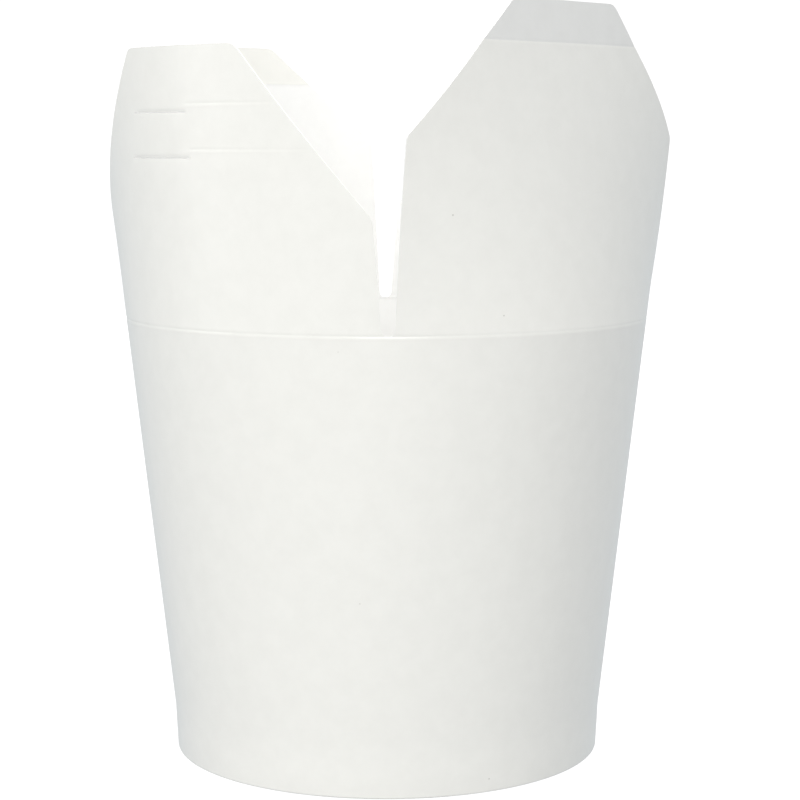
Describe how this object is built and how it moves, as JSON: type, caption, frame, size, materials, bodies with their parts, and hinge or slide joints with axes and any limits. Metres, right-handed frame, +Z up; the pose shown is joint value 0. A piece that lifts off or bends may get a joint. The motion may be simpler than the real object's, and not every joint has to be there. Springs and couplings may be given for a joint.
{
  "type": "noodle takeaway box",
  "caption": "Open round tapered takeaway box of white board with a recessed base, flaps that fold in from a crease round the mouth, tongues and slits to close it.",
  "frame": {"origin": "middle of the foot, on the surface that the box stands on", "axes": "+Z up; the flaps face -Y and +Y (slits) and +X and -X (tongues)"},
  "size_m": [0.1132, 0.1194, 0.1605],
  "materials": {
    "coated_board": "satin",
    "base_board": "satin"
  },
  "bodies": {
    "cup": {"cup_wall": "coated_board", "base_disc": "base_board"},
    "front_flap": {"flap_slits_front": "coated_board"},
    "right_flap": {"flap_tongue_right": "coated_board"},
    "back_flap": {"flap_slits_back": "coated_board"},
    "left_flap": {"flap_tongue_left": "coated_board"},
    "right_tongue": {"tongue_right": "coated_board"},
    "left_tongue": {"tongue_left": "coated_board"}
  },
  "joints": [
    {"name": "front_flap_fold", "type": "hinge", "parent": "cup", "child": "front_flap", "pos_m": [0, -0.04, 0.095], "axis": [-1, 0, 0], "range_deg": [0, 24]},
    {"name": "right_flap_fold", "type": "hinge", "parent": "cup", "child": "right_flap", "pos_m": [0.04, 0, 0.095], "axis": [0, -1, 0], "range_deg": [0, 43]},
    {"name": "back_flap_fold", "type": "hinge", "parent": "cup", "child": "back_flap", "pos_m": [0, 0.04, 0.095], "axis": [1, 0, 0], "range_deg": [0, 24]},
    {"name": "left_flap_fold", "type": "hinge", "parent": "cup", "child": "left_flap", "pos_m": [-0.04, 0, 0.095], "axis": [0, 1, 0], "range_deg": [0, 43]},
    {"name": "right_tongue_fold", "type": "hinge", "parent": "right_flap", "child": "right_tongue", "pos_m": [0.0489, 0, 0.1521], "axis": [0, -1, 0], "range_deg": [0, 80]},
    {"name": "left_tongue_fold", "type": "hinge", "parent": "left_flap", "child": "left_tongue", "pos_m": [-0.0506, 0, 0.1464], "axis": [0, 1, 0], "range_deg": [0, 80]}
  ]
}
